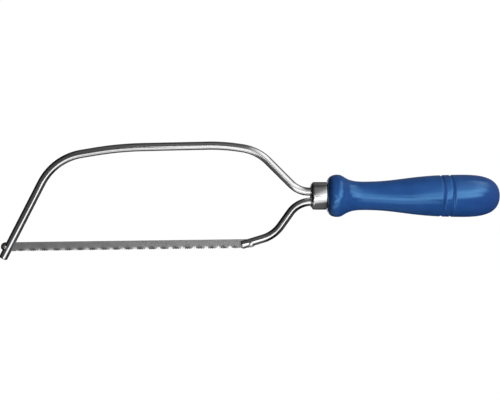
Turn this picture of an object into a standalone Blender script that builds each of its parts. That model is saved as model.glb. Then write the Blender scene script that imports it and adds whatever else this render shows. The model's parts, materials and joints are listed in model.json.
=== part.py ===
"""A mini hacksaw: sprung bow and tail of plated round rod, a pinned blade, a ferrule and a turned grip.

+X runs from the nose to the butt, +Z is up with the teeth facing down, and the saw is even about Y = 0.
The origin is the middle of the grip's visible length, on the grip's turning axis.
"""

import math

import bmesh
import bpy
import numpy
from mathutils import Matrix, Vector
from mathutils.geometry import interpolate_bezier

MM = 0.001

# Clearances between pieces
FIT_GAP = 0.3 * MM
SLOT_END_GAP = 0.4 * MM
MORTISE_END_GAP = 0.5 * MM

# Rod that the bow and the tail are bent from
ROD_DIAMETER = 5.0 * MM
ROD_END_CHAMFER = 0.5 * MM
TANG_LENGTH = 45.0 * MM
TANG_GAP = 1.0 * MM
TANG_PAIR_DROP = 0.5 * MM

# Blade and its two cross pins
PIN_SPACING = 145.4 * MM
PIN_DIAMETER = 2.2 * MM
PIN_PROUD = 0.5 * MM
PIN_CHAMFER = 0.2 * MM
BLADE_HEIGHT = 5.4 * MM
BLADE_THICKNESS = 0.65 * MM
TOOTH_PITCH = 1.06 * MM
TOOTH_DEPTH = 0.6 * MM
TOOTH_LEAN = 0.2
TOOTH_MARGIN = 5.4 * MM
END_RELIEF = 0.45 * MM
SET_WAVE = 7.0 * MM
SET_SWING = 0.35 * MM
SET_HEIGHT = 1.8 * MM

# Places of the pins, from the ferrule's mouth and from the grip's axis
REAR_PIN_REACH = 35.5 * MM
REAR_PIN_DROP = 28.3 * MM
FRONT_PIN_DROP = 30.2 * MM

# Bow: slopes of its straight runs from nose to ferrule, and the bends between them
LEG_SLOPE = math.radians(62.9)
FRONT_SLOPE = math.radians(9.5)
TOP_SLOPE = math.radians(1.25)
REAR_SLOPE = math.radians(-8.35)
REAR_LEG_SLOPE = math.radians(-45.0)
BOW_RISE = 29.9 * MM
FRONT_SHOULDER_REACH = 67.0 * MM
REAR_SHOULDER_REACH = 52.1 * MM
BOW_BEND_REACH = 7.2 * MM
FRONT_CORNER_RADIUS = 32.5 * MM
FRONT_SHOULDER_RADIUS = 200.0 * MM
REAR_SHOULDER_RADIUS = 110.0 * MM
REAR_CORNER_RADIUS = 28.0 * MM
BOW_BEND_RADIUS = 15.0 * MM
FRONT_PIN_SEAT = 0.7 * MM
NOSE_LENGTH = 6.9 * MM

# Tail: slopes of its two straight runs, and its bends
TAIL_SLOPE = math.radians(16.9)
TAIL_NECK_SLOPE = math.radians(54.5)
TAIL_BEND_REACH = 7.6 * MM
TAIL_CORNER_RADIUS = 20.0 * MM
TAIL_BEND_RADIUS = 15.0 * MM
REAR_PIN_SEAT = 1.75 * MM
TAIL_LENGTH = 5.6 * MM

# Ferrule
FERRULE_LENGTH = 9.4 * MM
FERRULE_WALL = 0.8 * MM
FERRULE_LIP = 1.75 * MM
FERRULE_ROUND = 1.4 * MM
MOUTH_GAP = 0.5 * MM

# Grip: lengths run back from the ferrule, or forward from the butt
GRIP_LENGTH = 102.0 * MM
SHOULDER_STEP = 0.4 * MM
BULGE_REACH = 6.0 * MM
BULGE_DIAMETER = 25.2 * MM
WAIST_REACH = 21.7 * MM
WAIST_DIAMETER = 16.9 * MM
SWELL_REACH = 21.4 * MM
SWELL_DIAMETER = 25.1 * MM
GROOVE_REACH = 29.1 * MM
GROOVE_SPACING = 5.4 * MM
GROOVE_WIDTH = 1.2 * MM
GROOVE_DEPTH = 0.6 * MM

# How far each curve of the grip leans on its ends, as a share of its run
SHOULDER_EASE = 0.56
BEAD_EASE = 0.32
COVE_EASE = 0.75
WAIST_EASE = 0.37
SWELL_EASE = 0.54
BUTT_EASE = 0.60
BUTT_ROUND = 0.82

# Facets
BEND_STEP = math.radians(5.0)
ROD_BEVEL_RESOLUTION = 6
GRIP_SIDES = 32
GRIP_CURVE_POINTS = 10
PIN_SIDES = 20
NOTCH_SIDES = 20
MORTISE_SIDES = 28
ROUND_STEPS = 4
BLADE_END_STEPS = 6
SHARP_ANGLE = math.radians(35.0)
WELD_DISTANCE = 0.00001

# Sizes that follow from the ones above
ROD_RADIUS = ROD_DIAMETER / 2
CUTTER_LENGTH = 2 * ROD_DIAMETER
BLADE_HALF = BLADE_HEIGHT / 2
PIN_SEAT_RADIUS = PIN_DIAMETER / 2 + FIT_GAP
SLOT_WIDTH = BLADE_THICKNESS + 2 * FIT_GAP
MOUTH_X = -(FERRULE_LENGTH + GRIP_LENGTH / 2)
BUTT_X = GRIP_LENGTH / 2
BOW_TANG_Z = (ROD_DIAMETER + TANG_GAP) / 2 - TANG_PAIR_DROP
TAIL_TANG_Z = -(ROD_DIAMETER + TANG_GAP) / 2 - TANG_PAIR_DROP
MOUTH_RADIUS = max(BOW_TANG_Z, -TAIL_TANG_Z) + ROD_RADIUS + MOUTH_GAP
FERRULE_RADIUS = MOUTH_RADIUS + FERRULE_LIP
SPIGOT_RADIUS = FERRULE_RADIUS - FERRULE_WALL - FIT_GAP
TANG_END_X = MOUTH_X + TANG_LENGTH
BLADE_SLOPE = math.asin((FRONT_PIN_DROP - REAR_PIN_DROP) / PIN_SPACING)
REAR_PIN = Vector((MOUTH_X - REAR_PIN_REACH, 0.0, -REAR_PIN_DROP))
FRONT_PIN = REAR_PIN - PIN_SPACING * Vector((math.cos(BLADE_SLOPE), 0.0, math.sin(BLADE_SLOPE)))

for old_object in list(bpy.data.objects):
    bpy.data.objects.remove(old_object)

saw_collection = bpy.data.collections.new("mini_hacksaw")
cutter_collection = bpy.data.collections.new("cutters")
bpy.context.scene.collection.children.link(saw_collection)
bpy.context.scene.collection.children.link(cutter_collection)


def finish(name, colour, roughness, metallic):
    """A plain surface finish."""
    made = bpy.data.materials.new(name)
    made.use_nodes = True
    shader = made.node_tree.nodes["Principled BSDF"]
    shader.inputs["Base Color"].default_value = (*colour, 1.0)
    shader.inputs["Roughness"].default_value = roughness
    shader.inputs["Metallic"].default_value = metallic
    return made


def add_part(name, mesh, material):
    """Puts a mesh into the saw as one named piece, shaded smooth between its sharp edges."""
    mesh.materials.append(material)
    if mesh.polygons:
        mesh.shade_smooth()
        mesh.set_sharp_from_angle(angle=SHARP_ANGLE)
    part = bpy.data.objects.new(name, mesh)
    saw_collection.objects.link(part)
    return part


def add_cutter(name, solid, placement):
    """Keeps a bmesh solid as a cutter: seen as wire, and never a piece of the saw."""
    mesh = bpy.data.meshes.new(name)
    solid.to_mesh(mesh)
    solid.free()
    cutter = bpy.data.objects.new(name, mesh)
    cutter.matrix_world = placement
    cutter.display_type = "WIRE"
    cutter.hide_render = True
    cutter_collection.objects.link(cutter)
    return cutter


def cut(part, cutter):
    """Takes the cutter's shape out of a piece."""
    boolean = part.modifiers.new(cutter.name, "BOOLEAN")
    boolean.operation = "DIFFERENCE"
    boolean.solver = "EXACT"
    boolean.object = cutter


def heading(slope):
    """Unit vector in the saw's plane, at an angle above +X."""
    return Vector((math.cos(slope), 0.0, math.sin(slope)))


def crossing(point_a, slope_a, point_b, slope_b):
    """Where two lines in the saw's plane meet, each given by a point and its angle above +X."""
    along_a = heading(slope_a)
    along_b = heading(slope_b)
    apart = point_b - point_a
    spread = along_a.x * along_b.z - along_a.z * along_b.x
    return point_a + along_a * (apart.x * along_b.z - apart.z * along_b.x) / spread


def facing(point, slope):
    """Placement whose X axis runs along a slope of the saw's plane and whose Y axis stays across it."""
    return Matrix.Translation(point) @ Matrix.Rotation(-slope, 4, "Y")


def bent_path(start, bends, end):
    """Points of a wire that runs straight between bends; a bend is its corner and its radius.

    A bend takes up at most half of the straight run on either side of its corner.
    """
    corners = [start] + [corner for corner, _ in bends] + [end]
    points = [start]
    for number, (corner, wanted_radius) in enumerate(bends, start=1):
        back_run = corners[number - 1] - corner
        onward_run = corners[number + 1] - corner
        back = back_run.normalized()
        onward = onward_run.normalized()
        turn = math.pi - back.angle(onward)
        reach = min(wanted_radius * math.tan(turn / 2), back_run.length / 2, onward_run.length / 2)
        radius = reach / math.tan(turn / 2)
        centre = corner + (back + onward).normalized() * radius / math.cos(turn / 2)
        first_spoke = (corner + back * reach - centre).normalized()
        last_spoke = (corner + onward * reach - centre).normalized()
        steps = max(2, math.ceil(turn / BEND_STEP))
        spokes = [first_spoke.slerp(last_spoke, step / steps) for step in range(steps + 1)]
        points += [centre + spoke * radius for spoke in spokes]
    return points + [end]


def add_rod(name, path, material):
    """Round bar along a path, chamfered at both ends, as a mesh that can be cut."""
    lead_in = path[0] + (path[1] - path[0]).normalized() * ROD_END_CHAMFER
    lead_out = path[-1] + (path[-2] - path[-1]).normalized() * ROD_END_CHAMFER
    stations = [path[0], lead_in, *path[1:-1], lead_out, path[-1]]
    curve = bpy.data.curves.new(name + "_path", "CURVE")
    curve.dimensions = "3D"
    curve.bevel_depth = ROD_RADIUS
    curve.bevel_resolution = ROD_BEVEL_RESOLUTION
    curve.use_fill_caps = True
    spline = curve.splines.new("POLY")
    spline.points.add(len(stations) - 1)
    for point, station in zip(spline.points, stations):
        point.co = (*station, 1.0)
    for point in (spline.points[0], spline.points[-1]):
        point.radius = 1.0 - ROD_END_CHAMFER / ROD_RADIUS
    wire = bpy.data.objects.new(name + "_path", curve)
    saw_collection.objects.link(wire)
    depsgraph = bpy.context.evaluated_depsgraph_get()
    mesh = bpy.data.meshes.new_from_object(wire.evaluated_get(depsgraph))
    welded = bmesh.new()
    welded.from_mesh(mesh)
    bmesh.ops.remove_doubles(welded, verts=welded.verts, dist=WELD_DISTANCE)
    bmesh.ops.recalc_face_normals(welded, faces=welded.faces)
    welded.to_mesh(mesh)
    welded.free()
    mesh.materials.clear()
    part = add_part(name, mesh, material)
    part.matrix_world = wire.matrix_world
    bpy.data.objects.remove(wire)
    return part


def add_turned(name, profile, closed, material):
    """Turns a profile about the grip's axis; a profile point is its place along X and its radius."""
    mesh = bpy.data.meshes.new(name)
    points = [(radius, 0.0, along) for along, radius in profile]
    edges = [(number, number + 1) for number in range(len(points) - 1)]
    if closed:
        edges.append((len(points) - 1, 0))
    mesh.from_pydata(points, edges, [])
    part = add_part(name, mesh, material)
    part.rotation_euler = (0.0, math.pi / 2, 0.0)
    screw = part.modifiers.new("turn", "SCREW")
    screw.axis = "Z"
    screw.steps = GRIP_SIDES
    screw.render_steps = GRIP_SIDES
    screw.use_merge_vertices = True
    screw.merge_threshold = WELD_DISTANCE
    screw.use_smooth_shade = True
    weld = part.modifiers.new("close_poles", "WELD")
    weld.merge_threshold = WELD_DISTANCE
    return part


def box_cutter(name, size, placement):
    """Box cutter, centred on its placement."""
    solid = bmesh.new()
    bmesh.ops.create_cube(solid, size=1.0, matrix=Matrix.Diagonal((*size, 1.0)))
    return add_cutter(name, solid, placement)


def slot_cutter(name, radius, reach, length, sides, placement):
    """Cylinder along Y, centred on its placement, with its +X half drawn out by reach."""
    solid = bmesh.new()
    lying = Matrix.Rotation(math.pi / 2, 4, "X") @ Matrix.Rotation(math.pi / sides, 4, "Z")
    bmesh.ops.create_cone(
        solid, cap_ends=True, segments=sides, radius1=radius, radius2=radius, depth=length, matrix=lying
    )
    for vertex in solid.verts:
        if vertex.co.x > WELD_DISTANCE:
            vertex.co.x += reach
    return add_cutter(name, solid, placement)


def add_bow(material):
    """Bow from its slotted nose, over the top bar and down into the grip."""
    pin_offset = ROD_RADIUS - FRONT_PIN_SEAT
    outward = heading(LEG_SLOPE + math.pi / 2)
    pin_foot = FRONT_PIN - outward * pin_offset
    nose_end = pin_foot - heading(LEG_SLOPE) * NOSE_LENGTH
    rear_shoulder = Vector((MOUTH_X - REAR_SHOULDER_REACH, 0.0, BOW_RISE))
    front_shoulder_foot = Vector((FRONT_PIN.x + FRONT_SHOULDER_REACH, 0.0, 0.0))
    front_shoulder = crossing(rear_shoulder, TOP_SLOPE, front_shoulder_foot, math.pi / 2)
    front_corner = crossing(front_shoulder, FRONT_SLOPE, pin_foot, LEG_SLOPE)
    ferrule_bend = Vector((MOUTH_X - BOW_BEND_REACH, 0.0, BOW_TANG_Z))
    rear_corner = crossing(rear_shoulder, REAR_SLOPE, ferrule_bend, REAR_LEG_SLOPE)
    bends = [
        (front_corner, FRONT_CORNER_RADIUS),
        (front_shoulder, FRONT_SHOULDER_RADIUS),
        (rear_shoulder, REAR_SHOULDER_RADIUS),
        (rear_corner, REAR_CORNER_RADIUS),
        (ferrule_bend, BOW_BEND_RADIUS),
    ]
    bow = add_rod("bow_rod", bent_path(nose_end, bends, Vector((TANG_END_X, 0.0, BOW_TANG_Z))), material)

    # The slot clears the blade's back where it leaves the inner side of the leg.
    lean = LEG_SLOPE - BLADE_SLOPE
    slot_rise = (pin_offset + ROD_RADIUS) / math.tan(lean) + BLADE_HALF / math.sin(lean) + SLOT_END_GAP
    slot_length = NOSE_LENGTH + slot_rise + ROD_DIAMETER
    slot_middle = pin_foot + heading(LEG_SLOPE) * (slot_rise - slot_length / 2)
    slot_size = (slot_length, SLOT_WIDTH, CUTTER_LENGTH)
    cut(bow, box_cutter("nose_slot", slot_size, facing(slot_middle, LEG_SLOPE)))
    notch = slot_cutter(
        "nose_notch",
        PIN_SEAT_RADIUS,
        ROD_DIAMETER,
        CUTTER_LENGTH,
        NOTCH_SIDES,
        facing(FRONT_PIN, LEG_SLOPE + math.pi / 2),
    )
    cut(bow, notch)
    print("nose face at", [round(value, 6) for value in nose_end], "bow highest", round(rear_shoulder.z, 6))
    return bow


def add_tail(material):
    """Tail rod from its slotted end up into the grip."""
    pin_offset = ROD_RADIUS - REAR_PIN_SEAT
    pin_foot = REAR_PIN + heading(TAIL_SLOPE + math.pi / 2) * pin_offset
    tail_end = pin_foot - heading(TAIL_SLOPE) * TAIL_LENGTH
    ferrule_bend = Vector((MOUTH_X - TAIL_BEND_REACH, 0.0, TAIL_TANG_Z))
    corner = crossing(pin_foot, TAIL_SLOPE, ferrule_bend, TAIL_NECK_SLOPE)
    bends = [(corner, TAIL_CORNER_RADIUS), (ferrule_bend, TAIL_BEND_RADIUS)]
    tail = add_rod("tail_rod", bent_path(tail_end, bends, Vector((TANG_END_X, 0.0, TAIL_TANG_Z))), material)

    # The slot clears the blade's rounded end, and the pin can drop out of the notch's open foot.
    slot_rise = BLADE_HALF + SLOT_END_GAP
    slot_length = TAIL_LENGTH + slot_rise + ROD_DIAMETER
    slot_middle = pin_foot + heading(TAIL_SLOPE) * (slot_rise - slot_length / 2)
    slot_size = (slot_length, SLOT_WIDTH, CUTTER_LENGTH)
    cut(tail, box_cutter("tail_slot", slot_size, facing(slot_middle, TAIL_SLOPE)))
    notch = slot_cutter(
        "tail_notch",
        PIN_SEAT_RADIUS,
        CUTTER_LENGTH,
        CUTTER_LENGTH,
        NOTCH_SIDES,
        facing(REAR_PIN, -math.pi / 2),
    )
    cut(tail, notch)
    return tail


def add_ferrule(material):
    """Drawn cap with a rounded front edge and a lip that turns in round the two rods."""
    back_x = MOUTH_X + FERRULE_LENGTH
    front_round = min(FERRULE_ROUND, FERRULE_LIP - FIT_GAP)
    profile = [(back_x, FERRULE_RADIUS)]
    for step in range(ROUND_STEPS + 1):
        turn = step / ROUND_STEPS * math.pi / 2
        along = MOUTH_X + front_round * (1 - math.sin(turn))
        profile.append((along, FERRULE_RADIUS - front_round * (1 - math.cos(turn))))
    inner_radius = FERRULE_RADIUS - FERRULE_WALL
    profile += [
        (MOUTH_X, MOUTH_RADIUS),
        (MOUTH_X + FERRULE_WALL, MOUTH_RADIUS),
        (MOUTH_X + FERRULE_WALL, inner_radius),
        (back_x, inner_radius),
    ]
    return add_turned("ferrule", profile, True, material)


def level_run(start, start_share, end, end_share):
    """Curve of the grip's outline that is level at both ends; the shares say how long it stays level."""
    run = Vector((end.x - start.x, 0.0))
    return start, start + run * start_share, end - run * end_share, end


def grip_outline():
    """Outer line of the grip from the butt to its front shoulder, as places along X and radii."""
    ferrule_back_x = MOUTH_X + FERRULE_LENGTH
    butt = Vector((BUTT_X, 0.0))
    swell = Vector((BUTT_X - SWELL_REACH, SWELL_DIAMETER / 2))
    waist = Vector((ferrule_back_x + WAIST_REACH, WAIST_DIAMETER / 2))
    bulge = Vector((ferrule_back_x + BULGE_REACH, BULGE_DIAMETER / 2))
    shoulder = Vector((ferrule_back_x + FIT_GAP, FERRULE_RADIUS + SHOULDER_STEP))
    butt_lean = Vector((butt.x, BUTT_ROUND * swell.y))
    swell_lean = Vector((swell.x + BUTT_EASE * SWELL_REACH, swell.y))
    bulge_lean = bulge + SHOULDER_EASE * Vector((shoulder.x - bulge.x, 0.0))
    shoulder_lean = shoulder + SHOULDER_EASE * Vector((0.0, bulge.y - shoulder.y))
    runs = [
        (butt, butt_lean, swell_lean, swell),
        level_run(swell, SWELL_EASE, waist, WAIST_EASE),
        level_run(waist, COVE_EASE, bulge, BEAD_EASE),
        (bulge, bulge_lean, shoulder_lean, shoulder),
    ]
    outline = [tuple(butt)]
    for run in runs:
        outline += [(point.x, point.y) for point in interpolate_bezier(*run, GRIP_CURVE_POINTS)[1:]]
    return outline


def with_grooves(outline):
    """The same outline with two shallow V grooves turned into its swell."""
    places = [along for along, _ in reversed(outline)]
    radii = [radius for _, radius in reversed(outline)]
    for groove_x in (BUTT_X - GROOVE_REACH, BUTT_X - GROOVE_REACH - GROOVE_SPACING):
        half = GROOVE_WIDTH / 2
        outline = [point for point in outline if abs(point[0] - groove_x) > half]
        for offset, depth in ((half, 0.0), (0.0, GROOVE_DEPTH), (-half, 0.0)):
            radius = float(numpy.interp(groove_x + offset, places, radii)) - depth
            outline.append((groove_x + offset, radius))
        outline.sort(key=lambda point: -point[0])
    return outline


def add_grip(material):
    """Turned wooden grip, with a spigot under the ferrule and one mortise for both tangs."""
    shoulder_x = MOUTH_X + FERRULE_LENGTH + FIT_GAP
    spigot_x = MOUTH_X + FERRULE_WALL + FIT_GAP
    profile = with_grooves(grip_outline())
    profile += [(shoulder_x, SPIGOT_RADIUS), (spigot_x, SPIGOT_RADIUS), (spigot_x, 0.0)]
    grip = add_turned("grip", profile, False, material)
    mortise_depth = TANG_END_X + MORTISE_END_GAP - spigot_x
    upright = Matrix(((0, 1, 0), (0, 0, 1), (1, 0, 0))).to_4x4()
    mortise = slot_cutter(
        "mortise",
        ROD_RADIUS + FIT_GAP,
        BOW_TANG_Z - TAIL_TANG_Z,
        2 * mortise_depth,
        MORTISE_SIDES,
        Matrix.Translation((spigot_x, 0.0, TAIL_TANG_Z)) @ upright,
    )
    cut(grip, mortise)
    return grip


def blade_columns():
    """Stations along the blade from the front pin: place, half height there, cut from below and set share."""
    columns = []
    for step in range(1, BLADE_END_STEPS + 1):
        turn = step / BLADE_END_STEPS * math.pi / 2
        rise = math.sin(turn)
        columns.append((-BLADE_HALF * math.cos(turn), BLADE_HALF * rise, END_RELIEF * rise, 0.0))
    ends = [(PIN_SPACING - along, half, depth, swing) for along, half, depth, swing in reversed(columns)]
    tooth_count = int((PIN_SPACING - 2 * TOOTH_MARGIN) / TOOTH_PITCH)
    first_tooth = (PIN_SPACING - tooth_count * TOOTH_PITCH) / 2
    for tooth in range(tooth_count):
        for lean, depth in ((0.0, 0.0), (1.0 - TOOTH_LEAN, TOOTH_DEPTH)):
            along = (tooth + lean) * TOOTH_PITCH
            swing = math.sin(2 * math.pi * along / SET_WAVE)
            columns.append((first_tooth + along, BLADE_HALF, depth, swing))
    columns.append((first_tooth + tooth_count * TOOTH_PITCH, BLADE_HALF, 0.0, 0.0))
    return columns + ends


def add_blade(material, hinge):
    """Thin strip with rounded ends, relieved below, and with raked teeth and a wavy set between them."""
    columns = blade_columns()
    toothed, set_line, back = range(3)
    strip = bmesh.new()
    bmesh.ops.create_grid(strip, x_segments=len(columns) - 1, y_segments=back, size=PIN_SPACING)
    for number, vertex in enumerate(strip.verts):
        row, column = divmod(number, len(columns))
        along, half, lower_cut, swing = columns[column]
        if row == toothed:
            vertex.co = (along, SET_SWING * swing, lower_cut - half)
        elif row == set_line:
            vertex.co = (along, 0.0, (SET_HEIGHT - BLADE_HALF) * half / BLADE_HALF)
        else:
            vertex.co = (along, 0.0, half)
    mesh = bpy.data.meshes.new("blade")
    strip.to_mesh(mesh)
    strip.free()
    blade = add_part("blade", mesh, material)
    blade.parent = hinge
    wall = blade.modifiers.new("thickness", "SOLIDIFY")
    wall.thickness = BLADE_THICKNESS
    wall.offset = 0.0
    for name, along in (("front_pin_hole", 0.0), ("rear_pin_hole", PIN_SPACING)):
        place = hinge.matrix_world @ Matrix.Translation((along, 0.0, 0.0))
        hole = slot_cutter(name, PIN_SEAT_RADIUS, 0.0, CUTTER_LENGTH, NOTCH_SIDES, place)
        cut(blade, hole)
    print("teeth:", sum(1 for column in columns if column[2] == TOOTH_DEPTH))
    return blade


def add_pin(name, along, material, hinge):
    """Cross pin of the blade, standing a little proud of the rod on both sides."""
    solid = bmesh.new()
    bmesh.ops.create_cone(
        solid,
        cap_ends=True,
        segments=PIN_SIDES,
        radius1=PIN_DIAMETER / 2,
        radius2=PIN_DIAMETER / 2,
        depth=ROD_DIAMETER + 2 * PIN_PROUD,
        matrix=Matrix.Rotation(math.pi / 2, 4, "X"),
    )
    mesh = bpy.data.meshes.new(name)
    solid.to_mesh(mesh)
    solid.free()
    pin = add_part(name, mesh, material)
    pin.parent = hinge
    pin.location = (along, 0.0, 0.0)
    edge = pin.modifiers.new("chamfer", "BEVEL")
    edge.width = PIN_CHAMFER
    edge.segments = 1
    edge.limit_method = "ANGLE"
    edge.angle_limit = SHARP_ANGLE
    return pin


plated_steel = finish("plated_steel", (0.78, 0.78, 0.79), 0.14, 1.0)
blade_steel = finish("blade_steel", (0.30, 0.30, 0.31), 0.45, 0.8)
pin_steel = finish("pin_steel", (0.45, 0.45, 0.46), 0.35, 1.0)
blue_lacquer = finish("blue_lacquer", (0.02, 0.08, 0.29), 0.25, 0.0)

blade_hinge = bpy.data.objects.new("blade_hinge", None)
blade_hinge.empty_display_size = BLADE_HEIGHT
blade_hinge.matrix_world = facing(FRONT_PIN, BLADE_SLOPE)
saw_collection.objects.link(blade_hinge)
bpy.context.view_layer.update()

add_bow(plated_steel)
add_tail(plated_steel)
add_ferrule(plated_steel)
add_grip(blue_lacquer)
add_blade(blade_steel, blade_hinge)
add_pin("front_pin", 0.0, pin_steel, blade_hinge)
add_pin("rear_pin", PIN_SPACING, pin_steel, blade_hinge)
bpy.context.view_layer.update()
print("front pin axis at", [round(value, 6) for value in FRONT_PIN])
print("rear pin axis at", [round(value, 6) for value in REAR_PIN])
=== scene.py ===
# %% [markdown]
# # A mini hacksaw, dressed for the camera
# The saw is five kinds of thing: plated round rod bent into a springy bow and a short tail, a thin
# blade, two cross pins that hook it between the rods, a drawn ferrule, and a turned wooden grip under
# blue lacquer. The packed CAD model gives every piece its place. This file puts a finer piece over
# each solid, gives it a finish, and lights it.

# %% Load the packed frame
import json
import math

import bmesh
import bpy
from mathutils import Matrix, Quaternion, Vector
from mathutils.geometry import interpolate_bezier


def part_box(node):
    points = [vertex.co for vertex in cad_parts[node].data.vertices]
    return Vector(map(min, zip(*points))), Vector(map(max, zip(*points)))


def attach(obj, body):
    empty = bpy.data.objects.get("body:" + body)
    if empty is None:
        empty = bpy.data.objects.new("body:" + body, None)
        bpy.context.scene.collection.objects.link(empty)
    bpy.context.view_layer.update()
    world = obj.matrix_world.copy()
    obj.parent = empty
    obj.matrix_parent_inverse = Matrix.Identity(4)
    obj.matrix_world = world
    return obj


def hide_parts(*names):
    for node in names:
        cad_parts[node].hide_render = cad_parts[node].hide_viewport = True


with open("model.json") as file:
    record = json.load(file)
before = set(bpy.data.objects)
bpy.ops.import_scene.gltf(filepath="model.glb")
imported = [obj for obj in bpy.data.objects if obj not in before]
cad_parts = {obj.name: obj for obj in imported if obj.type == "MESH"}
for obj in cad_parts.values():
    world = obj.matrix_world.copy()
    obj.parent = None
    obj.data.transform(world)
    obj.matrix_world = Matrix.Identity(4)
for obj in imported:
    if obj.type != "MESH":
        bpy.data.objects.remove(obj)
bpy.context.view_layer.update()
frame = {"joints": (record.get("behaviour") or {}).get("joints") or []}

MM = 0.001
FRONT_PIN = Vector(frame["joints"][0]["pos_m"])
REAR_PIN = sum(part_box("rear_pin"), Vector()) / 2
MOUTH_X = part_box("ferrule")[0].x
FERRULE_BACK_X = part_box("ferrule")[1].x
BUTT_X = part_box("grip")[1].x

# %% [markdown]
# ## Wires that Python can do sums with
# Both finishes and shapes are graphs of nodes. Written out link by link they are hard to read, so one
# small class holds an output socket and turns `a * 2 + b` into Math nodes. Its `node` method adds any
# other node: settings first, because some of them change the sockets, then the values or links of
# the sockets.


# %% The wire class
class Wire:
    """An output socket in a node tree; the plain operators add Math nodes to the same tree."""

    def __init__(self, tree, socket=None):
        self.tree = tree
        self.socket = socket

    def node(self, kind, settings=None, sockets=None, output=0):
        made = self.tree.nodes.new(kind)
        for name, value in (settings or {}).items():
            setattr(made, name, value)
        for name, value in (sockets or {}).items():
            if isinstance(value, Wire):
                self.tree.links.new(value.socket, made.inputs[name])
            else:
                made.inputs[name].default_value = value
        return Wire(self.tree, made.outputs[output])

    def math(self, operation, *values):
        return self.node("ShaderNodeMath", {"operation": operation}, dict(enumerate(values)))

    def __add__(self, other):
        return self.math("ADD", self, other)

    __radd__ = __add__

    def __sub__(self, other):
        return self.math("SUBTRACT", self, other)

    def __rsub__(self, other):
        return self.math("SUBTRACT", other, self)

    def __mul__(self, other):
        return self.math("MULTIPLY", self, other)

    __rmul__ = __mul__

    def __truediv__(self, other):
        return self.math("DIVIDE", self, other)

    def __rtruediv__(self, other):
        return self.math("DIVIDE", other, self)

    def __pow__(self, other):
        return self.math("POWER", self, other)

    def sine(self):
        return self.math("SINE", self)

    def cosine(self):
        return self.math("COSINE", self)

    def floor(self):
        return self.math("FLOOR", self)

    def size(self):
        return self.math("ABSOLUTE", self)

    def held(self):
        """The same value kept between 0 and 1."""
        return self.node("ShaderNodeClamp", {}, {"Value": self})

    def fade(self, low, high):
        """0 below low, 1 above high, and a smooth slope between them."""
        ends = {"Value": self, "From Min": low, "From Max": high}
        return self.node("ShaderNodeMapRange", {"interpolation_type": "SMOOTHSTEP"}, ends)

    def parts(self):
        """The three numbers of a vector."""
        split = self.tree.nodes.new("ShaderNodeSeparateXYZ")
        self.tree.links.new(self.socket, split.inputs[0])
        return [Wire(self.tree, socket) for socket in split.outputs]

    def stretched(self, along_x, along_y, along_z):
        """A vector with each of its numbers scaled, which draws a pattern out along one of them."""
        scales = {0: self, 1: (along_x, along_y, along_z)}
        return self.node("ShaderNodeVectorMath", {"operation": "MULTIPLY"}, scales)

    def grain(self, scale, detail=3.0):
        """Soft noise about 0.5, read at this vector."""
        return self.node("ShaderNodeTexNoise", {}, {"Vector": self, "Scale": scale, "Detail": detail})


print("sums:", [name for name in vars(Wire) if not name.startswith("__init")])


# %% Vectors and colours
def joined(x, y, z):
    """A vector from three numbers, of which at least one is a wire."""
    wire = next(value for value in (x, y, z) if isinstance(value, Wire))
    return wire.node("ShaderNodeCombineXYZ", {}, {0: x, 1: y, 2: z})


def blended(factor, first, second):
    """Colour that goes from the first to the second as the factor goes from 0 to 1."""
    return factor.node("ShaderNodeMix", {"data_type": "RGBA"}, {0: factor, 6: first, 7: second}, output=2)


print("helpers:", joined.__name__, "and", blended.__name__)

# %% [markdown]
# ## From a node tree to a plain piece
# A Geometry Nodes modifier lives on a holder object. It could stay there, live, but then every later
# step would depend on it. So the holder is read once through the evaluated scene, the result becomes
# a plain mesh, and the modifier goes away. Values that a finish has to read are stored on the shape
# under a name, because they would be hard to work out again from the finished mesh.

# %% Trees
MERGE_DISTANCE = 0.001 * MM


def new_tree(name, sizes):
    """Geometry Nodes tree with one named input for each size, and those inputs as wires."""
    tree = bpy.data.node_groups.new(name, "GeometryNodeTree")
    tree.interface.new_socket("Geometry", in_out="OUTPUT", socket_type="NodeSocketGeometry")
    tree.interface.new_socket("Geometry", in_out="INPUT", socket_type="NodeSocketGeometry")
    for size, kind in sizes.items():
        tree.interface.new_socket(size, in_out="INPUT", socket_type="NodeSocket" + kind)
    entry = tree.nodes.new("NodeGroupInput")
    return tree, {socket.name: Wire(tree, socket) for socket in entry.outputs if socket.name}


def marked(shape, name, value, kind="FLOAT_VECTOR", domain="CORNER"):
    """The shape with a value stored on it under a name."""
    sockets = {"Geometry": shape, "Name": name, "Value": value}
    return shape.node("GeometryNodeStoreNamedAttribute", {"data_type": kind, "domain": domain}, sockets)


def recalled(tree, name, kind="FLOAT"):
    """A value that the holder's mesh or an earlier node has under a name."""
    return Wire(tree).node("GeometryNodeInputNamedAttribute", {"data_type": kind}, {"Name": name})


def merged(shape):
    """The shape with points that lie on each other made one."""
    sockets = {"Geometry": shape, "Distance": MERGE_DISTANCE}
    return shape.node("GeometryNodeMergeByDistance", {}, sockets)


def end_tree(tree, shape, finish):
    """Last nodes of a tree: every instance made real, and the finish put on."""
    real = shape.node("GeometryNodeRealizeInstances", {}, {"Geometry": shape})
    dressed = real.node("GeometryNodeSetMaterial", {}, {"Geometry": real, "Material": finish})
    leave = tree.nodes.new("NodeGroupOutput")
    tree.links.new(dressed.socket, leave.inputs[0])


print("points within", MERGE_DISTANCE, "m of each other become one")


# %% Pieces
def settle(piece):
    """Makes the piece a plain mesh as its modifiers leave it, and takes the modifiers off."""
    depsgraph = bpy.context.evaluated_depsgraph_get()
    shape = piece.evaluated_get(depsgraph)
    mesh = bpy.data.meshes.new_from_object(shape, preserve_all_data_layers=True, depsgraph=depsgraph)
    piece.modifiers.clear()
    piece.data = mesh
    mesh.name = piece.name


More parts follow.
